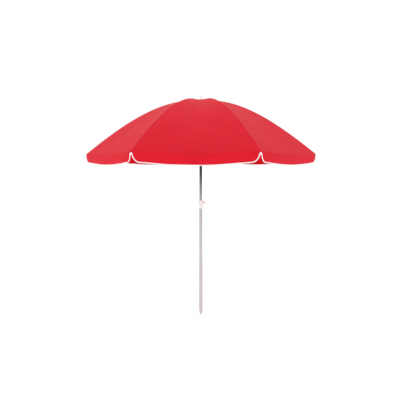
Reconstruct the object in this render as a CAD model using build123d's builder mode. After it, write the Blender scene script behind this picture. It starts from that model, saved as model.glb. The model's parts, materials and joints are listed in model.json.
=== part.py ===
from build123d import *

import os
from math import atan2, cos, degrees, hypot, radians, sin

# Beach umbrella: a two-piece pole, eight curved ribs with struts and a runner, and an eight-panel canopy.
# The origin is the bottom of the pole, +Z is the pole axis and -Y is the front. Sizes are millimetres.

os.makedirs("parts", exist_ok=True)

# Canopy
rib_count = 8
rib_pitch = 360 / rib_count
half_pitch = rib_pitch / 2
canopy_radius = 900
rim_z = 1366
canopy_rise = 468
dome_fullness = 0.33
dome_turn = 0.3
crown_z = rim_z + canopy_rise
rim_sag = 16
crown_sag = 40
cloth_thickness = 1.2
cloth_hole_radius = 8
cloth_gap = 0.2

# Valance: the slit runs straight down, then flares into the rising hem
valance_hem_z = 1286
hem_level_half_width = 113
hem_lift = 15
slit_top_z = 1356
slit_top_half_width = 3.5
slit_bow_half_width = 12
slit_bow_z = 1304
slit_hem_half_width = 50
tape_width = 5
tape_thickness = 0.4

# Ribs and their hinges at the crown
rib_radius = 2.5
rod_arcs = 6
rib_drop = 6
hinge_radius = 22
rib_end_radius = 890
tongue_width = 3.6
tongue_length = 14
tongue_overlap = 4
tongue_height = 4.4
rib_eye_radius = 3.6
pin_radius = 1.5
pin_play = 0.05
pin_length = 10
tip_sleeve_radius = 3.1
tip_sleeve_length = 10
tip_cap_thickness = 1.5
tip_neck_radius = 2
tip_neck_angle = 58
tip_ball_radius = 4.2
tip_ball_reach = 27

# Struts
bracket_station = 360
bracket_drop = 12
bracket_width = 9
bracket_length = 16
bracket_cover = 0.5
bracket_lug_radius = 4.5
bracket_side_play = 0.4
strut_radius = 2
strut_eye_radius = 3.5

# Hubs on the upper pole
hub_radius = 26
hub_slot_start = 17.9
hub_bottom_z = 1817
hub_top_z = 1831
hub_slot_width = 4.2
hub_edge = 1
slot_overrun = 2
runner_slot_width = 4.6
runner_above_pivot = 8
runner_disc_below_pivot = 10
runner_below_pivot = 45
bush_inner_radius = 12.6
bush_outer_radius = 14.2

# Poles
upper_pole_radius = 12.5
lower_pole_radius = 15
pole_wall = 1.2
upper_pole_bottom = 555
upper_pole_top = 1826
lower_pole_bottom = 45
lower_pole_top = 940
neck_radius = 14.7
neck_bottom = 910
tip_end_radius = 7
tip_edge_radius = 4
tip_plug_height = 30
guide_length = 30
guide_play = 0.1

# Top spindle, washer and finial
spindle_radius = 3
spindle_bottom = 1812
spindle_top = 1858
spindle_plug_top = 1820
washer_radius = 20
washer_gap = 1
washer_height = 3
washer_edge_radius = 2
finial_top = 1888
finial_radius = 7.5
finial_skirt_radius = 11
finial_skirt_height = 3
finial_neck_radius = 6
finial_neck_height = 12

# Locking collar and thumb screw
collar_bottom = 915
collar_top = 984
collar_radius = 20
collar_edge_radius = 3
collar_running_radius = 12.65
screw_z = 960
screw_radius = 4
screw_play = 0.05
boss_radius = 11
boss_reach = 24
shoe_radius = 5
shoe_thickness = 2
shoe_pocket_reach = 17.2
nut_radius = 6
nut_inner_reach = 18
nut_outer_reach = 23
knob_inner_reach = 25.2
knob_outer_reach = 40
knob_radius = 12
knob_edge_radius = 3
knob_cap_thickness = 5
knob_lobes = 6
knob_flute_radius = 4
knob_flute_circle = 14.5


def dome_drop(r):
    """How far the cloth over a rib lies below the crown at radius r."""
    share = r / canopy_radius
    return canopy_rise * (share**2 + dome_fullness * share * (1 - share) * (share - dome_turn))


def dome_slope(r):
    """How fast the dome drops at radius r."""
    share = r / canopy_radius
    fullness_slope = 2 * (1 + dome_turn) * share - dome_turn - 3 * share**2
    return (2 * share + dome_fullness * fullness_slope) * canopy_rise / canopy_radius


def rib_z(r):
    """Height of a rib's centreline at radius r."""
    return crown_z - rib_drop - dome_drop(r)


def dome_curve(height, fall, start, end):
    """The curve height(r), a cubic that falls by fall(r), between two radii, as one Bezier curve."""
    step = (end - start) / 3
    return Bezier(
        (start, height(start)),
        (start + step, height(start) - fall(start) * step),
        (end - step, height(end) + fall(end) * step),
        (end, height(end)),
    )


def save(piece, name):
    """Label a finished piece and write it as a STEP file."""
    piece.label = name
    export_step(piece, f"parts/{name}.step")


# The strut is as long as the strut pivot is far from the crown hinge, so strut and rib fold as an
# isosceles triangle whose third corner stays at the hinge radius, in the runner's slot.
hinge_z = rib_z(hinge_radius)
bracket_angle = atan2(dome_slope(bracket_station), 1)
strut_pivot_r = bracket_station - bracket_drop * sin(bracket_angle)
strut_pivot_z = rib_z(bracket_station) - bracket_drop * cos(bracket_angle)
strut_length = hypot(strut_pivot_r - hinge_radius, hinge_z - strut_pivot_z)
runner_pivot_z = 2 * strut_pivot_z - hinge_z
strut_rise_angle = degrees(atan2(strut_pivot_z - runner_pivot_z, strut_pivot_r - hinge_radius))

# Lower pole: a tube swaged a little thinner where the collar holds it, with a rounded plug in its foot
with BuildPart() as lower_pole:
    with BuildSketch(Plane.XY.offset(lower_pole_bottom)):
        Circle(lower_pole_radius)
    extrude(amount=neck_bottom - lower_pole_bottom)
    with BuildSketch(Plane.XY.offset(neck_bottom)):
        Circle(neck_radius)
    extrude(amount=lower_pole_top - neck_bottom)
    with BuildSketch(Plane.XY.offset(lower_pole_bottom)):
        Circle(lower_pole_radius - pole_wall)
    extrude(amount=lower_pole_top - lower_pole_bottom, mode=Mode.SUBTRACT)
save(lower_pole.part, "lower_pole")

with BuildPart() as pole_tip:
    with BuildSketch(Plane.XZ):
        with BuildLine():
            Line((0, 0), (tip_end_radius - tip_edge_radius, 0))
            RadiusArc(
                (tip_end_radius - tip_edge_radius, 0),
                (tip_end_radius, tip_edge_radius),
                -tip_edge_radius,
            )
            Line((tip_end_radius, tip_edge_radius), (lower_pole_radius, lower_pole_bottom))
            Line((lower_pole_radius, lower_pole_bottom), (0, lower_pole_bottom))
            Line((0, lower_pole_bottom), (0, 0))
        make_face()
    revolve(axis=Axis.Z)
    with BuildSketch(Plane.XY.offset(lower_pole_bottom)):
        Circle(lower_pole_radius - pole_wall)
    extrude(amount=tip_plug_height)
save(pole_tip.part, "pole_tip")

# Upper pole with the plastic guide that centres it inside the lower pole
with BuildPart() as upper_pole:
    with BuildSketch(Plane.XY.offset(upper_pole_bottom)):
        Circle(upper_pole_radius)
        Circle(upper_pole_radius - pole_wall, mode=Mode.SUBTRACT)
    extrude(amount=upper_pole_top - upper_pole_bottom)
save(upper_pole.part, "upper_pole")

with BuildPart() as pole_guide:
    with BuildSketch(Plane.XY.offset(upper_pole_bottom - pole_wall)):
        Circle(lower_pole_radius - pole_wall - guide_play)
    extrude(amount=guide_length)
    with BuildSketch(Plane.XY.offset(upper_pole_bottom)):
        Circle(upper_pole_radius)
        Circle(upper_pole_radius - pole_wall, mode=Mode.SUBTRACT)
    extrude(amount=guide_length, mode=Mode.SUBTRACT)
    with BuildSketch(Plane.XY.offset(upper_pole_bottom + pole_wall)):
        Circle(upper_pole_radius - 2 * pole_wall)
    extrude(amount=guide_length, mode=Mode.SUBTRACT)
save(pole_guide.part, "pole_guide")

# Locking collar: it grips the lower pole's end and lets the upper pole slide until the screw is tight
with BuildPart() as locking_collar:
    with BuildSketch(Plane.XY.offset(collar_bottom)):
        Circle(collar_radius)
    extrude(amount=collar_top - collar_bottom)
    fillet(locking_collar.edges().filter_by(GeomType.CIRCLE), collar_edge_radius)
    with BuildSketch(Plane.YZ):
        with Locations((0, screw_z)):
            Circle(boss_radius)
    extrude(amount=boss_reach)
    with BuildSketch(Plane.XY.offset(collar_bottom)):
        Circle(neck_radius)
    extrude(amount=lower_pole_top - collar_bottom, mode=Mode.SUBTRACT)
    with BuildSketch(Plane.XY.offset(collar_bottom)):
        Circle(collar_running_radius)
    extrude(amount=collar_top - collar_bottom, mode=Mode.SUBTRACT)
    with BuildSketch(Plane.YZ):
        with Locations((0, screw_z)):
            Circle(shoe_radius + screw_play)
    extrude(amount=shoe_pocket_reach, mode=Mode.SUBTRACT)
    with BuildSketch(Plane.YZ):
        with Locations((0, screw_z)):
            Circle(screw_radius + screw_play)
    extrude(amount=boss_reach, mode=Mode.SUBTRACT)
    with BuildSketch(Plane.YZ.offset(nut_inner_reach)):
        with Locations((0, screw_z)):
            RegularPolygon(nut_radius, 6)
    extrude(amount=boss_reach - nut_inner_reach, mode=Mode.SUBTRACT)
save(locking_collar.part, "locking_collar")

with BuildPart() as collar_nut:
    with BuildSketch(Plane.YZ.offset(nut_inner_reach)):
        with Locations((0, screw_z)):
            RegularPolygon(nut_radius, 6)
            Circle(screw_radius + screw_play, mode=Mode.SUBTRACT)
    extrude(amount=nut_outer_reach - nut_inner_reach)
save(collar_nut.part, "collar_nut")

with BuildPart() as clamp_shoe:
    with BuildSketch(Plane.YZ.offset(upper_pole_radius + screw_play)):
        with Locations((0, screw_z)):
            Circle(shoe_radius)
    extrude(amount=shoe_thickness)
save(clamp_shoe.part, "clamp_shoe")

stud_start = upper_pole_radius + shoe_thickness + 2 * screw_play
with BuildPart() as screw_stud:
    with BuildSketch(Plane.YZ.offset(stud_start)):
        with Locations((0, screw_z)):
            Circle(screw_radius)
    extrude(amount=knob_outer_reach - knob_cap_thickness - stud_start)
save(screw_stud.part, "screw_stud")

with BuildPart() as screw_knob:
    with BuildSketch(Plane.YZ.offset(knob_inner_reach)):
        with Locations((0, screw_z)):
            Circle(knob_radius)
    extrude(amount=knob_outer_reach - knob_inner_reach)
    fillet(screw_knob.edges().group_by(Axis.X)[-1], knob_edge_radius)
    with BuildSketch(Plane.YZ.offset(knob_inner_reach)):
        with Locations((0, screw_z)):
            with PolarLocations(knob_flute_circle, knob_lobes):
                Circle(knob_flute_radius)
    extrude(amount=knob_outer_reach - knob_inner_reach, mode=Mode.SUBTRACT)
    with BuildSketch(Plane.YZ.offset(knob_inner_reach)):
        with Locations((0, screw_z)):
            Circle(screw_radius)
    extrude(
        amount=knob_outer_reach - knob_cap_thickness - knob_inner_reach, mode=Mode.SUBTRACT
    )
save(screw_knob.part, "screw_knob")

# Crown hub: a slotted cap on the upper pole, one slot and one hinge pin for each rib
pin_sites = [
    Plane(
        origin=(hinge_radius * cos(radians(a)), hinge_radius * sin(radians(a)), 0),
        x_dir=(0, 0, 1),
        z_dir=(-sin(radians(a)), cos(radians(a)), 0),
    )
    for a in [half_pitch + rib_pitch * i for i in range(rib_count)]
]


def radial_slots(height, width):
    """Draw one radial slot for each rib, open to the outside of a hub."""
    slot_length = hub_radius + slot_overrun - hub_slot_start
    with BuildSketch(Plane.XY.offset(height)) as slots:
        with PolarLocations(hub_slot_start + slot_length / 2, rib_count, start_angle=half_pitch):
            Rectangle(slot_length, width)
    return slots.sketch


with BuildPart() as crown_hub:
    with BuildSketch(Plane.XY.offset(hub_bottom_z)):
        Circle(hub_radius)
    extrude(amount=hub_top_z - hub_bottom_z)
    chamfer(crown_hub.edges().filter_by(GeomType.CIRCLE), hub_edge)
    with BuildSketch(Plane.XY.offset(hub_bottom_z)):
        Circle(upper_pole_radius)
    extrude(amount=upper_pole_top - hub_bottom_z, mode=Mode.SUBTRACT)
    with BuildSketch(Plane.XY.offset(upper_pole_top)):
        Circle(spindle_radius)
    extrude(amount=hub_top_z - upper_pole_top, mode=Mode.SUBTRACT)
    extrude(
        radial_slots(hub_bottom_z, hub_slot_width),
        amount=hub_top_z - hub_bottom_z,
        mode=Mode.SUBTRACT,
    )
    for site in pin_sites:
        with BuildSketch(site):
            with Locations((hinge_z, 0)):
                Circle(pin_radius)
        extrude(amount=pin_length / 2, both=True, mode=Mode.SUBTRACT)
save(crown_hub.part, "crown_hub")

with BuildPart() as crown_pins:
    for site in pin_sites:
        with BuildSketch(site):
            with Locations((hinge_z, 0)):
                Circle(pin_radius)
        extrude(amount=pin_length / 2, both=True)
save(crown_pins.part, "crown_pins")

with BuildPart() as top_spindle:
    with BuildSketch(Plane.XY.offset(spindle_bottom)):
        Circle(spindle_radius)
    extrude(amount=spindle_top - spindle_bottom)
    with BuildSketch(Plane.XY.offset(spindle_bottom)):
        Circle(upper_pole_radius - pole_wall)
    extrude(amount=spindle_plug_top - spindle_bottom)
save(top_spindle.part, "top_spindle")

# Washer over the cloth, and the finial that screws down on it
washer_bottom = crown_z + washer_gap
with BuildPart() as top_washer:
    with BuildSketch(Plane.XY.offset(washer_bottom)):
        Circle(washer_radius)
    extrude(amount=washer_height)
    fillet(top_washer.edges().group_by(Axis.Z)[-1], washer_edge_radius)
    with BuildSketch(Plane.XY.offset(washer_bottom)):
        Circle(spindle_radius)
    extrude(amount=washer_height, mode=Mode.SUBTRACT)
save(top_washer.part, "top_washer")

finial_bottom = washer_bottom + washer_height
with BuildPart() as finial:
    with BuildSketch(Plane.XZ):
        with BuildLine():
            Polyline(
                (0, finial_bottom),
                (finial_skirt_radius, finial_bottom),
                (finial_skirt_radius, finial_bottom + finial_skirt_height),
                (finial_neck_radius, finial_bottom + finial_neck_height),
                (finial_radius, finial_top - finial_radius),
            )
            CenterArc((0, finial_top - finial_radius), finial_radius, 0, 90)
            Line((0, finial_top), (0, finial_bottom))
        make_face()
    revolve(axis=Axis.Z)
    with BuildSketch(Plane.XY.offset(finial_bottom)):
        Circle(spindle_radius)
    extrude(amount=spindle_top - finial_bottom, mode=Mode.SUBTRACT)
save(finial.part, "finial")

# Runner: the sliding hub whose slots take the lower ends of the struts
runner_top = runner_pivot_z + runner_above_pivot
runner_disc_bottom = runner_pivot_z - runner_disc_below_pivot
runner_bottom = runner_pivot_z - runner_below_pivot
with BuildPart() as runner:
    with BuildSketch(Plane.XY.offset(runner_disc_bottom)):
        Circle(hub_radius)
    extrude(amount=runner_top - runner_disc_bottom)
    chamfer(runner.edges().filter_by(GeomType.CIRCLE), hub_edge)
    extrude(
        radial_slots(runner_disc_bottom, runner_slot_width),
        amount=runner_top - runner_disc_bottom,
        mode=Mode.SUBTRACT,
    )
    with BuildSketch(Plane.XY.offset(runner_bottom)):
        Circle(hub_slot_start)
    extrude(amount=runner_top - runner_bottom)
    with BuildSketch(Plane.XY.offset(runner_bottom)):
        Circle(bush_outer_radius)
    extrude(amount=runner_top - runner_bottom, mode=Mode.SUBTRACT)
save(runner.part, "runner")

with BuildPart() as runner_bush:
    with BuildSketch(Plane.XY.offset(runner_bottom)):
        Circle(bush_outer_radius)
        Circle(bush_inner_radius, mode=Mode.SUBTRACT)
    extrude(amount=runner_top - runner_bottom)
save(runner_bush.part, "runner_bush")

# One rib, in the XZ plane: a curved rod with a flat hinge tongue at its inner end
rod_start = hinge_radius + tongue_length
with BuildPart() as rib:
    with BuildSketch(Plane.XZ.offset(-tongue_width / 2)):
        with Locations((hinge_radius, hinge_z)):
            Circle(rib_eye_radius)
        with Locations(((hinge_radius + rod_start + tongue_overlap) / 2, hinge_z)):
            Rectangle(rod_start + tongue_overlap - hinge_radius, tongue_height)
        with Locations((hinge_radius, hinge_z)):
            Circle(pin_radius + pin_play, mode=Mode.SUBTRACT)
    extrude(amount=tongue_width)
    with BuildLine() as rib_path:
        with BuildLine(Plane.XZ):
            dome_curve(rib_z, dome_slope, rod_start, rib_end_radius)
    rod_plane = Plane(rib_path.line @ 0, z_dir=rib_path.line % 0)
    with BuildSketch(rod_plane):
        with BuildLine():
            for i in range(rod_arcs):
                CenterArc((0, 0), rib_radius, i * 360 / rod_arcs, 360 / rod_arcs)
        make_face()
    sweep(path=rib_path.line)

# Plastic cap on the rib's outer end; its bent neck and ball stand out through the slit
rod_end = rib_path.line @ 1
neck_plane = Plane(
    origin=rod_end,
    z_dir=(cos(radians(tip_neck_angle)), 0, -sin(radians(tip_neck_angle))),
)
with BuildPart() as rib_tip:
    with BuildSketch(Plane(origin=rod_end, z_dir=rib_path.line % 1).offset(-tip_sleeve_length)):
        Circle(tip_sleeve_radius)
    extrude(amount=tip_sleeve_length + tip_cap_thickness)
    with BuildSketch(neck_plane):
        Circle(tip_neck_radius)
    extrude(amount=tip_ball_reach)
    with Locations(neck_plane.from_local_coords((0, 0, tip_ball_reach))):
        Sphere(tip_ball_radius)
    with BuildSketch(rod_plane):
        Circle(rib_radius)
    sweep(path=rib_path.line, mode=Mode.SUBTRACT)

# Bracket clamped under the rib; its rivet is the strut's upper hinge
bracket_plane = Plane(
    origin=(bracket_station, 0, rib_z(bracket_station)),
    x_dir=(cos(bracket_angle), 0, -sin(bracket_angle)),
    z_dir=(0, -1, 0),
)
with BuildPart() as rib_bracket:
    with BuildSketch(bracket_plane):
        with Locations((0, bracket_cover - bracket_drop / 2)):
            Rectangle(bracket_length, bracket_drop + 2 * bracket_cover)
        with Locations((0, -bracket_drop)):
            Circle(bracket_lug_radius)
    extrude(amount=bracket_width / 2, both=True)
    with BuildSketch(bracket_plane):
        with Locations((0, -bracket_drop)):
            Rectangle(2 * bracket_length, 2 * (bracket_drop - bracket_lug_radius))
    extrude(amount=tongue_width / 2 + bracket_side_play, both=True, mode=Mode.SUBTRACT)
    with BuildSketch(rod_plane):
        Circle(rib_radius)
    sweep(path=rib_path.line, mode=Mode.SUBTRACT)
    with BuildSketch(bracket_plane):
        with Locations((0, -bracket_drop)):
            Circle(pin_radius)
    extrude(amount=bracket_width / 2, both=True)

# One strut, from the bracket's rivet to the runner's slot
strut_plane = Plane(
    origin=(hinge_radius, 0, runner_pivot_z),
    x_dir=(cos(radians(strut_rise_angle)), 0, sin(radians(strut_rise_angle))),
    z_dir=(0, -1, 0),
)
strut_rod_plane = Plane(
    origin=strut_plane.from_local_coords((tongue_length, 0, 0)),
    z_dir=strut_plane.x_dir,
)
with BuildPart() as strut:
    with BuildSketch(strut_plane):
        with Locations((0, 0), (strut_length, 0)):
            Circle(strut_eye_radius)
        with Locations((tongue_length / 2, 0), (strut_length - tongue_length / 2, 0)):
            Rectangle(tongue_length + tongue_overlap / 2, 2 * strut_radius)
        with Locations((0, 0), (strut_length, 0)):
            Circle(pin_radius + pin_play, mode=Mode.SUBTRACT)
    extrude(amount=tongue_width / 2, both=True)
    with BuildSketch(strut_rod_plane):
        Circle(strut_radius)
    extrude(amount=strut_length - 2 * tongue_length)

# One gore of cloth, centred on a rib and reaching to the middle of the panel on each side
mid_angle = radians(half_pitch)
mid_scale = cos(mid_angle)
mid_out = Vector(cos(mid_angle), sin(mid_angle), 0)
mid_side = Vector(sin(mid_angle), -cos(mid_angle), 0)
mid_plane = Plane(origin=mid_side * cloth_gap, x_dir=mid_out, z_dir=mid_side)
half_panel = canopy_radius * sin(mid_angle)
valance_plane = Plane(
    origin=mid_out * (canopy_radius * mid_scale), x_dir=-mid_side, z_dir=mid_out
)


def rib_line_z(x):
    """Height of the cloth above a rib at distance x from the pole axis."""
    return crown_z - dome_drop(x)


def mid_line_z(x):
    """Height of the cloth midway between ribs, where it sags, at distance x from the pole axis."""
    station = x / mid_scale
    share = station / canopy_radius
    return crown_z - dome_drop(station) - crown_sag * share - (rim_sag - crown_sag) * share**2


def mid_line_slope(x):
    """How fast the cloth drops midway between ribs, at distance x from the pole axis."""
    station = x / mid_scale
    sag_slope = crown_sag + 2 * (rim_sag - crown_sag) * station / canopy_radius
    return (dome_slope(station) + sag_slope / canopy_radius) / mid_scale


def cloth_section(plane, height, slope, scale):
    """Draw the cloth's cut edge on a plane through the pole axis."""
    start = cloth_hole_radius * scale
    end = canopy_radius * scale
    with BuildSketch(plane) as section:
        with BuildLine():
            dome_curve(height, slope, start, end)
            Line((end, height(end)), (end, height(end) - cloth_thickness))
            dome_curve(lambda x: height(x) - cloth_thickness, slope, start, end)
            Line((start, height(start) - cloth_thickness), (start, height(start)))
        make_face()
    return section.sketch.face()


def rim_line_z(w):
    """Height of the rim at distance w from the middle of a panel."""
    return rim_z - rim_sag + rim_sag * w / half_panel


slit_top = half_panel - slit_top_half_width
slit_hem = half_panel - slit_hem_half_width
hem_corner = (-slit_hem, valance_hem_z + hem_lift)


def valance_free_edge():
    """Draw the valance's free edge: along the hem from the panel's middle, then up the slit."""
    Bezier(
        (-cloth_gap, valance_hem_z),
        (-hem_level_half_width, valance_hem_z),
        hem_corner,
    )
    Bezier(
        hem_corner,
        (slit_bow_half_width - half_panel, slit_bow_z),
        (-slit_top, slit_top_z),
    )


def close_valance():
    """Draw the rest of the valance's outline, up the slit's top, along the rim and back down."""
    Polyline(
        (-slit_top, slit_top_z),
        (-slit_top, rim_line_z(slit_top)),
        (-cloth_gap, rim_line_z(cloth_gap)),
        (-cloth_gap, valance_hem_z),
    )


with BuildPart() as gore:
    rib_section = cloth_section(Plane.XZ, rib_line_z, dome_slope, 1)
    mid_section = cloth_section(mid_plane, mid_line_z, mid_line_slope, mid_scale)
    loft([rib_section, mid_section], ruled=True)
    with BuildSketch(valance_plane):
        with BuildLine():
            valance_free_edge()
            close_valance()
        make_face()
    extrude(amount=-cloth_thickness)
    mirror(about=Plane.XZ)

# White tape that binds the hem and the sides of the slit
with BuildPart() as binding:
    with BuildSketch(valance_plane):
        with BuildLine():
            valance_free_edge()
        trace(line_width=2 * tape_width)
        with BuildLine():
            valance_free_edge()
            close_valance()
        make_face(mode=Mode.INTERSECT)
    extrude(amount=tape_thickness)
    mirror(about=Plane.XZ)

# The same rib, tip, bracket, strut, gore and tape stand around the pole at every rib
around_the_pole = {
    "rib": rib,
    "rib_tip": rib_tip,
    "rib_bracket": rib_bracket,
    "strut": strut,
    "canopy_gore": gore,
    "valance_binding": binding,
}
for i in range(rib_count):
    for name, piece in around_the_pole.items():
        save(piece.part.rotate(Axis.Z, half_pitch + rib_pitch * i), f"{name}_{i + 1}")

print("hinge", hinge_radius, hinge_z)
print("strut pivot", strut_pivot_r, strut_pivot_z, "length", strut_length)
print("runner pivot", runner_pivot_z)
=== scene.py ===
import json
import math

import bmesh
import bpy
from mathutils import Matrix, Vector, noise


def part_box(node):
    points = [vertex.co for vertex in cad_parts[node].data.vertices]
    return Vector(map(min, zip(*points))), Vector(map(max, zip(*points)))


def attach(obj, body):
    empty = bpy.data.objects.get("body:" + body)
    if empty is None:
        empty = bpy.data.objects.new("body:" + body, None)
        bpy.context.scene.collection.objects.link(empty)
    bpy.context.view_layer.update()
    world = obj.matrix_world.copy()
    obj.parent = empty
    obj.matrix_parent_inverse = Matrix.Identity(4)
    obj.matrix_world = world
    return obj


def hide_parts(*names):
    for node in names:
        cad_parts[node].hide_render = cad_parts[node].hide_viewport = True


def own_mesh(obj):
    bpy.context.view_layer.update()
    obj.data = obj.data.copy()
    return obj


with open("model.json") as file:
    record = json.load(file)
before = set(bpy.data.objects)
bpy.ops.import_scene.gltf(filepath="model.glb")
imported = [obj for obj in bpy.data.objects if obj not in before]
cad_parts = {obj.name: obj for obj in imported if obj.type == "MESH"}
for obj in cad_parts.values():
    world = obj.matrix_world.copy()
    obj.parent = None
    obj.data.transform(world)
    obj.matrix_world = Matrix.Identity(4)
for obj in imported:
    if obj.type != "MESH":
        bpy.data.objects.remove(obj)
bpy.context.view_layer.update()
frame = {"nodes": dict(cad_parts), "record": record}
nodes = frame["nodes"]
scene = bpy.context.scene

# ---------------------------------------------------------------------------------------------
# Canopy sizes in metres. The dome, the rim and the hem's lowest line are those of the CAD cloth.
# The slits are a little smaller than there, and the hem rises more beside them.
# ---------------------------------------------------------------------------------------------
RIBS = sum(1 for name in nodes if name.startswith("canopy_gore_"))
HALF_PITCH = math.pi / RIBS
CANOPY_R = 0.900
CROWN_Z = 1.834
RIM_Z = 1.366
HEM_Z = 1.286
DOME_FULLNESS = 0.33
DOME_TURN = 0.3
HALF_PANEL = CANOPY_R * math.sin(HALF_PITCH)
PANEL_OUT = Vector((math.cos(HALF_PITCH), math.sin(HALF_PITCH), 0))
HOLE_R = 0.008
CROWN_SAG = 0.040
RIM_SAG = 0.016
ROUNDING = 0.007
SLIT_TOP = 0.013
HEM_LIFT = 0.020
HEM_LIFT_POWER = 1.5
HEM_TUCK = 0.004
TAPE_WIDTH = 0.005
CLOTH_THICKNESS = 0.0005

# Pins through the struts' lower ends
PIN_R = 0.0015
PIN_LENGTH = 0.008
PIN_SIDES = 20
HINGE_R = 0.022
STRUT_EYE_R = 0.0035
PIN_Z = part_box("strut_1")[0].z + STRUT_EYE_R


# ---------------------------------------------------------------------------------------------
# Small helpers for objects and meshes
# ---------------------------------------------------------------------------------------------
def add_object(name, data):
    made = bpy.data.objects.new(name, data)
    scene.collection.objects.link(made)
    return made


def mesh_from(name, bm, material):
    """Turn a bmesh into a mesh with one material."""
    mesh = bpy.data.meshes.new(name)
    bm.to_mesh(mesh)
    bm.free()
    mesh.materials.append(material)
    return mesh


def add_face(bm, corners):
    bm.faces.new(corners).smooth = True


def add_strips(bm, lines, closed=False):
    """Join neighbouring lines of vertices with faces. Closed lines are rings."""
    for a, b in zip(lines, lines[1:]):
        for k in range(len(a) if closed else len(a) - 1):
            n = (k + 1) % len(a)
            add_face(bm, [a[k], a[n], b[n], b[k]])


def write_uv(bm, uv):
    """Give every face corner the UV of its vertex."""
    layer = bm.loops.layers.uv.new("UVMap")
    for face in bm.faces:
        for loop in face.loops:
            loop[layer].uv = uv[loop.vert]


# ---------------------------------------------------------------------------------------------
# Camera: level, near the height of the hem, a little to the right of the front
# ---------------------------------------------------------------------------------------------
CAMERA_DISTANCE = 2.148
CAMERA_AZIMUTH = math.radians(2.0)
CAMERA_HEIGHT = 1.296
SENSOR_WIDTH = 36
LENS = 22.4
SHIFT_X = -0.0020
SHIFT_Y = -0.0903


def add_camera():
    data = bpy.data.cameras.new("camera")
    data.sensor_width = SENSOR_WIDTH
    data.lens = LENS
    data.shift_x = SHIFT_X
    data.shift_y = SHIFT_Y
    made = add_object("camera", data)
    made.location = (
        CAMERA_DISTANCE * math.sin(CAMERA_AZIMUTH),
        -CAMERA_DISTANCE * math.cos(CAMERA_AZIMUTH),
        CAMERA_HEIGHT,
    )
    made.rotation_euler = (math.pi / 2, 0, CAMERA_AZIMUTH)
    return made


scene.camera = add_camera()
scene.view_settings.view_transform = "Standard"


# ---------------------------------------------------------------------------------------------
# Small helpers for node materials
# ---------------------------------------------------------------------------------------------
class Material:
    """A node material built step by step around one Principled shader."""

    def __init__(self, name, coordinates="Object"):
        self.material = bpy.data.materials.new(name)
        self.material.use_nodes = True
        self.tree = self.material.node_tree
        self.shader = self.tree.nodes["Principled BSDF"]
        self.coordinates = self.node("ShaderNodeTexCoord").outputs[coordinates]

    def node(self, kind, **settings):
        made = self.tree.nodes.new(kind)
        for key, value in settings.items():
            setattr(made, key, value)
        return made

    def link(self, source, target):
        self.tree.links.new(source, target)

    def put(self, socket, value):
        """Give a socket a plain value or a link."""
        if isinstance(value, bpy.types.NodeSocket):
            self.link(value, socket)
        else:
            socket.default_value = value

    def axes(self):
        """The material's coordinates as separate X, Y and Z."""
        split = self.node("ShaderNodeSeparateXYZ")
        self.link(self.coordinates, split.inputs[0])
        return split.outputs

    def noise(self, scale, detail=4.0, roughness=0.55, stretch=(1, 1, 1)):
        mapping = self.node("ShaderNodeMapping")
        self.link(self.coordinates, mapping.inputs["Vector"])
        mapping.inputs["Scale"].default_value = stretch
        made = self.node("ShaderNodeTexNoise")
        self.link(mapping.outputs["Vector"], made.inputs["Vector"])
        made.inputs["Scale"].default_value = scale
        made.inputs["Detail"].default_value = detail
        made.inputs["Roughness"].default_value = roughness
        return made.outputs["Fac"]

    def wave(self, scale, direction):
        made = self.node("ShaderNodeTexWave", bands_direction=direction, wave_profile="SIN")
        self.link(self.coordinates, made.inputs["Vector"])
        made.inputs["Scale"].default_value = scale
        return made.outputs["Fac"]

    def math(self, operation, a, b=0.0):
        made = self.node("ShaderNodeMath", operation=operation)
        for socket, value in zip(made.inputs, (a, b)):
            self.put(socket, value)
        return made.outputs[0]

    def spread(self, value, low, high, from_low=0.3, from_high=0.7):
        """Map a value to a range, by default from the middle of a noise's own range."""
        made = self.node("ShaderNodeMapRange")
        self.put(made.inputs["Value"], value)
        made.inputs["From Min"].default_value = from_low
        made.inputs["From Max"].default_value = from_high
        made.inputs["To Min"].default_value = low
        made.inputs["To Max"].default_value = high
        return made.outputs["Result"]

    def mix(self, factor, a, b):
        made = self.node("ShaderNodeMix", data_type="RGBA")
        self.put(made.inputs["Factor"], factor)
        self.put(made.inputs["A"], a)
        self.put(made.inputs["B"], b)
        return made.outputs["Result"]

    def bump(self, height, strength, distance, below=None):
        made = self.node("ShaderNodeBump")
        made.inputs["Strength"].default_value = strength
        made.inputs["Distance"].default_value = distance
        self.put(made.inputs["Height"], height)
        if below is not None:
            self.link(below, made.inputs["Normal"])
        return made.outputs["Normal"]

    def finish(self, colour, roughness, normal=None, **constants):
        """Fill the shader's sockets. Underscores in the constants' names stand for spaces."""
        self.put(self.shader.inputs["Base Color"], colour)
        self.put(self.shader.inputs["Roughness"], roughness)
        if normal is not None:
            self.link(normal, self.shader.inputs["Normal"])
        for socket, value in constants.items():
            self.shader.inputs[socket.replace("_", " ")].default_value = value
        return self.material


def rgb(red, green, blue):
    return (red, green, blue, 1.0)


# ---------------------------------------------------------------------------------------------
# Materials. Distances and heights are in metres, and a noise's scale is in cells per metre.
# ---------------------------------------------------------------------------------------------
# A wave texture turns 20 radians in a metre at scale 1, so these threads are 0.377 mm apart
WEAVE_SCALE = 2500 / 3
STITCH_LENGTH = 0.0035
STITCH_HALF_WIDTH = 0.0004
STITCH_SHARE = 0.7
SCUFF_ROUGHNESS = 0.22
DRAWN_ROUGHNESS = 0.12
TARNISH_ROUGHNESS = 0.2
GRIME = rgb(0.05, 0.055, 0.06)
GRIME_SHARE = 0.35


def stitches(m, row):
    """A mask of the stitches in a row at this distance from the seam or the edge."""
    axes = m.axes()
    across = m.math("ABSOLUTE", axes["X"])
    from_row = m.math("ABSOLUTE", m.math("SUBTRACT", across, row))
    on_row = m.math("LESS_THAN", from_row, STITCH_HALF_WIDTH)
    along = m.math("FRACT", m.math("MULTIPLY", axes["Y"], 1 / STITCH_LENGTH))
    return m.math("MULTIPLY", on_row, m.math("LESS_THAN", along, STITCH_SHARE))


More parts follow.
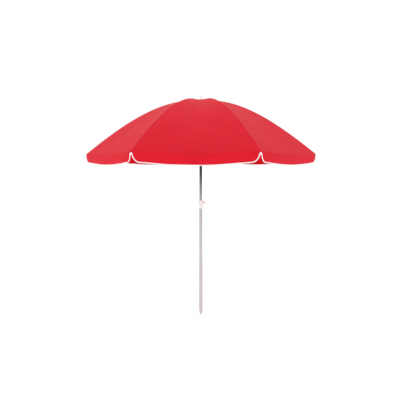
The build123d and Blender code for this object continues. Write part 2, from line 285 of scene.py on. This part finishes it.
def woven(name, base, dark, light, thread, stitch_row):
    """Plain-woven cloth. The UV map is in metres: u across from the seam or edge, v along it."""
    m = Material(name, "UV")
    clouds = m.noise(scale=5.0, detail=3.0)
    slubs = m.noise(scale=240.0, detail=2.0, stretch=(1, 0.06, 1))
    tint = m.mix(m.spread(clouds, low=0.0, high=1.0), dark, light)
    colour = m.mix(m.spread(slubs, low=0.25, high=0.6), base, tint)
    weave = m.math("MAXIMUM", m.wave(WEAVE_SCALE, "X"), m.wave(WEAVE_SCALE, "Y"))
    normal = m.bump(weave, strength=0.35, distance=0.0002)
    creases = m.noise(scale=9.0, detail=5.0, roughness=0.6)
    normal = m.bump(creases, strength=0.25, distance=0.004, below=normal)
    stitch = stitches(m, stitch_row)
    colour = m.mix(stitch, colour, thread)
    normal = m.bump(stitch, strength=0.8, distance=0.0005, below=normal)
    roughness = m.spread(m.noise(scale=60.0), low=0.62, high=0.78)
    return m.finish(
        colour, roughness, normal, Sheen_Weight=0.03, Sheen_Roughness=0.5, Specular_IOR_Level=0.1
    )


def plastic(name, base, shade, roughness):
    """Injection-moulded plastic: faint flow marks, a fine grain and scuffs."""
    m = Material(name)
    flow = m.noise(scale=14.0, detail=3.0, stretch=(1, 1, 0.4))
    colour = m.mix(m.spread(flow, low=0.0, high=1.0), base, shade)
    scuffs = m.noise(scale=130.0, detail=6.0, roughness=0.7, stretch=(1, 1, 0.2))
    scuffed = roughness + SCUFF_ROUGHNESS
    rough = m.spread(scuffs, low=roughness, high=scuffed, from_low=0.45, from_high=0.75)
    grain = m.noise(scale=900.0, detail=2.0)
    normal = m.bump(grain, strength=0.15, distance=0.0002)
    normal = m.bump(flow, strength=0.1, distance=0.0006, below=normal)
    return m.finish(colour, rough, normal, Coat_Weight=0.15, Coat_Roughness=0.25)


def tube_metal(name, top, bottom, low_z, high_z, roughness, metallic, specular):
    """Drawn steel tube: lengthwise draw lines, fine scratches, and a colour that runs from bottom to
    top between low_z and high_z.
    """
    m = Material(name)
    # Colour by height: on the upper tube this is painted shade, dark just under the canopy and
    # lighter further down
    height = m.spread(m.axes()["Z"], low=0.0, high=1.0, from_low=low_z, from_high=high_z)
    colour = m.mix(height, bottom, top)
    lines = m.noise(scale=420.0, detail=3.0, roughness=0.6, stretch=(1, 1, 0.01))
    patches = m.noise(scale=22.0, detail=4.0, roughness=0.6, stretch=(1, 1, 0.25))
    dirty = m.mix(GRIME_SHARE, colour, GRIME)
    colour = m.mix(m.spread(patches, low=0.0, high=0.35), colour, dirty)
    rough = m.spread(lines, low=roughness, high=roughness + DRAWN_ROUGHNESS)
    normal = m.bump(lines, strength=0.12, distance=0.0002)
    scratches = m.noise(scale=160.0, detail=8.0, roughness=0.8, stretch=(1, 1, 0.08))
    deepest = m.spread(scratches, low=0.0, high=1.0, from_low=0.6, from_high=0.75)
    normal = m.bump(deepest, strength=0.1, distance=0.0002, below=normal)
    return m.finish(colour, rough, normal, Metallic=metallic, Specular_IOR_Level=specular)


def small_metal(name, base, worn, roughness):
    """Plated or drawn small steel parts, a little tarnished."""
    m = Material(name)
    patches = m.noise(scale=70.0, detail=5.0, roughness=0.65)
    colour = m.mix(m.spread(patches, low=0.0, high=1.0), base, worn)
    rough = m.spread(m.noise(scale=300.0), low=roughness, high=roughness + TARNISH_ROUGHNESS)
    normal = m.bump(m.noise(scale=700.0, detail=3.0), strength=0.12, distance=0.0002)
    return m.finish(colour, rough, normal, Metallic=1.0)


canopy_cloth = woven(
    "canopy_cloth",
    base=rgb(0.645, 0.007, 0.021),
    dark=rgb(0.57, 0.005, 0.016),
    light=rgb(0.70, 0.010, 0.027),
    thread=rgb(0.43, 0.011, 0.020),
    stitch_row=0.0042,
)
binding_tape = woven(
    "binding_tape",
    base=rgb(0.88, 0.87, 0.87),
    dark=rgb(0.82, 0.80, 0.80),
    light=rgb(0.92, 0.91, 0.91),
    thread=rgb(0.95, 0.94, 0.94),
    stitch_row=0.0015,
)
zinc_steel = small_metal("zinc_steel", rgb(0.6, 0.6, 0.62), rgb(0.42, 0.42, 0.43), roughness=0.3)

SLOT_MATERIALS = {
    "white_plastic": plastic(
        "white_plastic", rgb(0.90, 0.94, 0.945), rgb(0.84, 0.88, 0.885), roughness=0.3
    ),
    "grey_plastic": plastic(
        "grey_plastic", rgb(0.2, 0.21, 0.22), rgb(0.14, 0.145, 0.155), roughness=0.4
    ),
    # The upper tube's dark top is painted shade from the canopy over it, lighter further down
    "dark_steel": tube_metal(
        "upper_steel",
        top=rgb(0.050, 0.062, 0.074),
        bottom=rgb(0.39, 0.41, 0.43),
        low_z=1.0,
        high_z=1.22,
        roughness=0.28,
        metallic=0.3,
        specular=0.25,
    ),
    "light_steel": tube_metal(
        "lower_steel",
        top=rgb(0.53, 0.54, 0.55),
        bottom=rgb(0.57, 0.58, 0.59),
        low_z=0.1,
        high_z=0.9,
        roughness=0.34,
        metallic=0.4,
        specular=0.3,
    ),
    "rib_steel": small_metal(
        "rib_steel", rgb(0.25, 0.26, 0.28), rgb(0.16, 0.165, 0.175), roughness=0.35
    ),
    "zinc_steel": zinc_steel,
    "brass": small_metal("brass", rgb(0.6, 0.42, 0.16), rgb(0.42, 0.28, 0.1), roughness=0.3),
    "canopy_cloth": canopy_cloth,
    "binding_tape": binding_tape,
}
for entry in frame["record"]["subparts"]:
    mesh = nodes[entry["node"]].data
    mesh.materials.clear()
    mesh.materials.append(SLOT_MATERIALS[entry["material_slot"]])


# ---------------------------------------------------------------------------------------------
# The canopy's surface, in the frame of one rib: x out along the rib, y to its left, z up
# ---------------------------------------------------------------------------------------------
# The slit's side, as a Bezier curve: (half its width, its depth) at the top, the bow and the hem
SLIT_CURVE = ((0.0025, 0.0), (0.011, 0.051), (0.042, 0.056))

# The slit's top is rounded over this part of the curve
SLIT_NOSE = 0.03

# Where the rows beside the slit lie on its curve: close together round its top, then evenly
SLIT_ROWS = 14
SLIT_TIMES = [0.006, 0.015, SLIT_NOSE]
SLIT_TIMES += [SLIT_NOSE + (1 - SLIT_NOSE) * i / SLIT_ROWS for i in range(1, SLIT_ROWS + 1)]

# The valance's own shape: waves across each half panel, and a bow outward between rim and hem
RIPPLE = 0.0025
RIPPLE_WAVES = 1.25
BULGE = 0.003

# Slow unevenness of the cloth: how far it moves, its scale in each direction and its start
UNEVENNESS = 0.004
UNEVEN_SCALE = Vector((5.5, 5.5, 4.0))
UNEVEN_START = Vector((0, 0, 3.7))


def panel_sag(r):
    """How far the cloth dips below the line between two ribs, midway between them."""
    share = r / CANOPY_R
    return CROWN_SAG * share + (RIM_SAG - CROWN_SAG) * share**2


def dome_drop(r):
    """How far the cloth over a rib lies below the crown at radius r."""
    share = r / CANOPY_R
    turn = DOME_FULLNESS * share * (1 - share) * (share - DOME_TURN)
    return (CROWN_Z - RIM_Z) * (share**2 + turn)


def dome_point(r, w):
    """A point of the dome at rib station r, w = 0 on the rib to 1 in the middle of the panel."""
    mid_r = r * math.cos(HALF_PITCH)
    rib = Vector((r, 0, 0))
    mid = Vector((mid_r * math.cos(HALF_PITCH), mid_r * math.sin(HALF_PITCH), 0))
    point = rib.lerp(mid, w)
    point.z = CROWN_Z - dome_drop(r) - panel_sag(r) * (1 - (1 - w) ** 2)
    return point


def slit_side(t):
    """Half the slit's width, and how far down it is as a share of its depth, for t = 0 to 1."""
    parts = ((1 - t) ** 2, 2 * t * (1 - t), t * t)
    half_width = sum(part * point[0] for part, point in zip(parts, SLIT_CURVE))
    depth = sum(part * point[1] for part, point in zip(parts, SLIT_CURVE))
    nose = min(t / SLIT_NOSE, 1.0)
    return half_width * math.sqrt(1 - (1 - nose) ** 2), depth / SLIT_CURVE[-1][1]


def hem_drop(w):
    """How far the hem hangs below the rim: more in the middle of a panel than beside the slits."""
    rim = RIM_Z - panel_sag(CANOPY_R) * (1 - (1 - w) ** 2)
    hem = HEM_Z + HEM_LIFT * (1 - w) ** HEM_LIFT_POWER
    return rim - hem


SLIT_START = (SLIT_TOP - ROUNDING) / (hem_drop(0) - ROUNDING)


def slit_points():
    """For each row beside the slit, k and w of valance_point on the slit's side."""
    for t in SLIT_TIMES:
        half_width, share = slit_side(t)
        yield SLIT_START + (1 - SLIT_START) * share, half_width / HALF_PANEL


def valance_point(k, w):
    """A point of the valance, k = 0 just below the rounded rim to 1 at the hem."""
    rim = dome_point(CANOPY_R, w)
    drop = ROUNDING + k * (hem_drop(w) - ROUNDING)
    h = drop / hem_drop(w)
    ripple = RIPPLE * math.sin(2 * math.pi * RIPPLE_WAVES * w) * h
    bulge = BULGE * math.sin(math.pi * h)
    point = rim + PANEL_OUT * (bulge + ripple - HEM_TUCK * h)
    point.z = rim.z - drop
    return point


def rim_rounded(w, t):
    """The soft fold between dome and valance, t = 0 on the dome to 1 on the valance."""
    start = dome_point(CANOPY_R - ROUNDING, w)
    corner = dome_point(CANOPY_R, w)
    return start * (1 - t) ** 2 + corner * 2 * t * (1 - t) + valance_point(0, w) * t * t


def settled(point, angle):
    """Slow unevenness of the cloth at a point of the gore at this angle round the pole."""
    place = Matrix.Rotation(angle, 3, "Z") @ point
    return UNEVENNESS * noise.noise(place * UNEVEN_SCALE + UNEVEN_START)


def mirrored(point):
    return Vector((point.x, -point.y, point.z))


# ---------------------------------------------------------------------------------------------
# The gores: one sheet over each rib
# ---------------------------------------------------------------------------------------------
DOME_ROWS = 56
DOME_ROW_POWER = 0.9
ROUND_ROWS = 5
COLUMNS = 24

# The unevenness grows over this many rows from the crown, and columns from the seam
FIRM_STEPS = 6

# The seam's welt on the rib: how far each line is from the seam, and how high it stands
WELT = (0.0, 0.003, 0.005, 0.0065)
WELT_LIFT = (0.0009, 0.0009, 0.0007, 0.0)
WELT_FIRST_ROW = 4
WELT_SHARE = 0.06


def welt_shares(half_width):
    """Shares across half a panel: the seam's welt beside the rib, then even steps to the middle."""
    near = [min(reach / half_width, WELT_SHARE * k) for k, reach in enumerate(WELT)]
    steps = COLUMNS - len(WELT) + 1
    return near + [near[-1] + (1 - near[-1]) * (i / steps) for i in range(1, steps + 1)]


def cut_shares(cut):
    """Shares across half a panel below the slit's top, from the slit's side to the middle."""
    return [cut + (1 - cut) * w for w in welt_shares(HALF_PANEL)]


def half_rows():
    """Rows of points over half a gore, from the crown to the hem, and how many are above the slit."""
    rows = []
    for i in range(DOME_ROWS + 1):
        r = HOLE_R + (CANOPY_R - ROUNDING - HOLE_R) * (i / DOME_ROWS) ** DOME_ROW_POWER
        rows.append([dome_point(r, w) for w in welt_shares(r * math.sin(HALF_PITCH))])
    for i in range(1, ROUND_ROWS + 1):
        rows.append([rim_rounded(w, i / ROUND_ROWS) for w in welt_shares(HALF_PANEL)])
    rows.append([valance_point(SLIT_START, w) for w in welt_shares(HALF_PANEL)])
    above_slit = len(rows)
    for k, cut in slit_points():
        rows.append([valance_point(k, w) for w in cut_shares(cut)])
    return rows, above_slit


def cloth_lift(place, angle, row, column, above_slit):
    """How far the unevenness and the seam's welt lift a point of the gore."""
    looseness = min(1.0, column / FIRM_STEPS) * min(1.0, row / FIRM_STEPS)
    lift = settled(place, angle) * looseness
    if column < len(WELT) and WELT_FIRST_ROW <= row < above_slit:
        lift += WELT_LIFT[column]
    return lift


def add_half_gore(bm, uv, angle, side, seam):
    """Add the half on one side of the rib, starting from the other half's seam. Returns its own."""
    rows, above_slit = half_rows()
    grid = []
    down = 0.0
    for i, row in enumerate(rows):
        down += (row[-1] - rows[max(i - 1, 0)][-1]).length
        line = []
        for c, point in enumerate(row):
            if c == 0 and i < len(seam):
                line.append(seam[i])
                continue
            place = point if side > 0 else mirrored(point)
            lift = cloth_lift(place, angle, i, c, above_slit)
            vertex = bm.verts.new(place + Vector((0, 0, lift)))
            uv[vertex] = (side * (point - row[0]).length, down)
            line.append(vertex)
        grid.append(line)
    for upper, lower in zip(grid, grid[1:]):
        for c in range(COLUMNS):
            corners = [upper[c], lower[c], lower[c + 1], upper[c + 1]]
            add_face(bm, corners[::side])
    return [line[0] for line in grid[:above_slit]]


def gore_mesh(angle):
    """The cloth round one rib, to the middle of the panel on each side, as one sheet."""
    bm = bmesh.new()
    uv = {}
    seam = add_half_gore(bm, uv, angle, side=1, seam=[])
    add_half_gore(bm, uv, angle, side=-1, seam=seam)
    write_uv(bm, uv)
    return bm


def add_piece(name, bm, angle, material):
    """Turn a bmesh in the rib's frame into an object standing at that rib."""
    bmesh.ops.rotate(bm, verts=bm.verts, matrix=Matrix.Rotation(angle, 3, "Z"), cent=(0, 0, 0))
    return add_object(name, mesh_from(name, bm, material))


def thicken(piece, thickness):
    """Give a sheet its second face, inside the first, with none along its edges."""
    solid = piece.modifiers.new("thickness", "SOLIDIFY")
    solid.thickness = thickness
    solid.offset = -1
    solid.use_rim = False


# ---------------------------------------------------------------------------------------------
# White binding tape, folded over the slit's sides and along the hem
# ---------------------------------------------------------------------------------------------
HEM_STEPS = 20
TAPE_UV_STEP = 0.0015

# Cross-section of the tape: (share of its width in from the edge, metres outward from the cloth)
TAPE_PROFILE = [
    (1.0, 0.0008), (0.6, 0.0011), (0.1, 0.0011), (-0.1, 0.0007), (-0.16, -0.0003),
    (-0.1, -0.0011), (0.1, -0.0016), (0.6, -0.0016), (1.0, -0.0013),
]


def edge_line():
    """Points from the slit's top down its side and along the hem to the middle of the panel."""
    line = [valance_point(SLIT_START, 0)]
    line += [valance_point(k, cut) for k, cut in slit_points()]
    corner = SLIT_CURVE[-1][0] / HALF_PANEL
    for i in range(1, HEM_STEPS + 1):
        line.append(valance_point(1.0, corner + (1 - corner) * i / HEM_STEPS))
    return line


def tape_mesh():
    """The tape as one folded strip from the middle of one panel, up round the slit, to the next."""
    side = edge_line()
    places = [mirrored(p) for p in reversed(side[1:])] + side
    outs = [mirrored(PANEL_OUT)] * (len(side) - 1) + [Vector((1, 0, 0))]
    outs += [PANEL_OUT] * (len(side) - 1)
    bm = bmesh.new()
    uv = {}
    rings = []
    travelled = 0.0
    for i, (here, out) in enumerate(zip(places, outs)):
        before = places[max(i - 1, 0)]
        after = places[min(i + 1, len(places) - 1)]
        along = (after - before).normalized()
        inward = out.cross(along).normalized()
        travelled += (here - before).length
        ring = []
        for k, (reach, proud) in enumerate(TAPE_PROFILE):
            vertex = bm.verts.new(here + inward * (reach * TAPE_WIDTH) + out * proud)
            uv[vertex] = (k * TAPE_UV_STEP, travelled)
            ring.append(vertex)
        rings.append(ring)
    add_strips(bm, rings, closed=True)
    write_uv(bm, uv)
    bmesh.ops.recalc_face_normals(bm, faces=bm.faces)
    return bm


# ---------------------------------------------------------------------------------------------
# Cloth ties sewn along the seam, which hold the canopy on each rib
# ---------------------------------------------------------------------------------------------
TIE_STATIONS = (0.22, 0.52, 0.70)
TIE_HALF_LENGTH = 0.007
TIE_THICKNESS = 0.0005
RIB_DROP = 0.006
SLOPE_STEP = 0.001

# Half a tie's cross-section round the rib: (to the side, up from the rib's middle line)
TIE_PROFILE = [
    (0.0, -0.0034), (0.0012, -0.0032), (0.0024, -0.0024), (0.0032, -0.0010),
    (0.0034, 0.0008), (0.0036, 0.0024), (0.0044, 0.0037), (0.0058, 0.0042), (0.0075, 0.0043),
]


def add_tie(bm, uv, r):
    """Add one tie at rib station r: a short band that passes under the rib."""
    profile = [(-side, up) for side, up in reversed(TIE_PROFILE[1:])] + TIE_PROFILE
    fall = dome_drop(r + SLOPE_STEP) - dome_drop(r)
    along = Vector((SLOPE_STEP, 0, -fall)).normalized()
    up_axis = Vector((-along.z, 0, along.x))
    middle = Vector((r, 0, CROWN_Z - RIB_DROP - dome_drop(r)))
    lines = []
    for end in (-1, 0, 1):
        line = []
        for k, (side, up) in enumerate(profile):
            place = middle + along * (end * TIE_HALF_LENGTH) + up_axis * up
            place.y = side
            vertex = bm.verts.new(place)
            uv[vertex] = (k * TAPE_UV_STEP, end * TIE_HALF_LENGTH)
            line.append(vertex)
        lines.append(line)
    add_strips(bm, lines)


def tie_mesh():
    """The ties of one rib, sewn to the canopy."""
    bm = bmesh.new()
    uv = {}
    for r in TIE_STATIONS:
        add_tie(bm, uv, r)
    write_uv(bm, uv)
    # Known fault: the vertices have no normals yet, so the second layer lies on the first
    bmesh.ops.solidify(bm, geom=bm.faces[:], thickness=TIE_THICKNESS)
    bmesh.ops.recalc_face_normals(bm, faces=bm.faces)
    return bm


def strut_pin(name, place, across):
    """The pin through a strut's lower end, which turns in the runner's slot."""
    bm = bmesh.new()
    bmesh.ops.create_cone(
        bm, cap_ends=True, segments=PIN_SIDES, radius1=PIN_R, radius2=PIN_R, depth=PIN_LENGTH
    )
    for face in bm.faces:
        face.smooth = len(face.verts) == 4
    made = add_object(name, mesh_from(name, bm, zinc_steel))
    made.rotation_euler = across.to_track_quat("Z", "Y").to_euler()
    made.location = place
    return made


# ---------------------------------------------------------------------------------------------
# The pieces at each rib
# ---------------------------------------------------------------------------------------------
for i in range(RIBS):
    angle = HALF_PITCH + 2 * HALF_PITCH * i
    body = f"rib_{i + 1}_body"
    across = Vector((-math.sin(angle), math.cos(angle), 0))
    gore = add_piece(f"gore_{i + 1}", gore_mesh(angle), angle, canopy_cloth)
    thicken(gore, CLOTH_THICKNESS)
    tape = add_piece(f"binding_{i + 1}", tape_mesh(), angle, binding_tape)
    for piece in (gore, tape):
        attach(piece, body)
        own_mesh(piece)
    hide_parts(f"canopy_gore_{i + 1}")
    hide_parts(f"valance_binding_{i + 1}")
    ties = add_piece(f"rib_ties_{i + 1}", tie_mesh(), angle, canopy_cloth)
    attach(ties, body)
    out = Vector((math.cos(angle), math.sin(angle), 0))
    pin = strut_pin(f"strut_pin_{i + 1}", out * HINGE_R + Vector((0, 0, PIN_Z)), across)
    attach(pin, f"strut_{i + 1}_body")

# ---------------------------------------------------------------------------------------------
# Studio: a pale floor, a white surround and soft lights
# ---------------------------------------------------------------------------------------------
FLOOR_HALF_SIZE = 150
FLOOR_CELLS = 8
FLOOR_GLOW = 0.3
WHITE = rgb(1.0, 1.0, 1.0)
SURROUND = 1.0
AIM = Vector((0, 0, 1.5))

# Soft lights: where each stands, how wide it is in metres and its power in watts
LIGHTS = {
    "left_light": ((-3.5, -2.5, 3.2), 2.5, 16),
    "right_light": ((3.5, -2.5, 3.2), 2.5, 4),
    "top_light": ((0, 0.5, 5.0), 3.0, 15),
}


def floor_material():
    """Matt white floor with a faint glow, so that it stays pale under the canopy."""
    m = Material("floor")
    specks = m.spread(m.noise(scale=30.0), low=0.0, high=1.0)
    colour = m.mix(specks, rgb(0.93, 0.93, 0.93), rgb(0.96, 0.96, 0.96))
    return m.finish(colour, roughness=0.9, Emission_Color=WHITE, Emission_Strength=FLOOR_GLOW)


def add_floor():
    bm = bmesh.new()
    bmesh.ops.create_grid(
        bm, x_segments=FLOOR_CELLS, y_segments=FLOOR_CELLS, size=FLOOR_HALF_SIZE
    )
    return add_object("floor", mesh_from("floor", bm, floor_material()))


def add_light(name, place, size, power):
    """A square soft light that faces the canopy."""
    data = bpy.data.lights.new(name, "AREA")
    data.size = size
    data.energy = power
    made = add_object(name, data)
    made.location = place
    made.rotation_euler = (AIM - Vector(place)).to_track_quat("-Z", "Y").to_euler()


def add_surround():
    scene.world = bpy.data.worlds.new("world")
    scene.world.use_nodes = True
    background = scene.world.node_tree.nodes["Background"]
    background.inputs["Color"].default_value = WHITE
    background.inputs["Strength"].default_value = SURROUND


add_floor()
for name, (place, size, power) in LIGHTS.items():
    add_light(name, place, size, power)
add_surround()
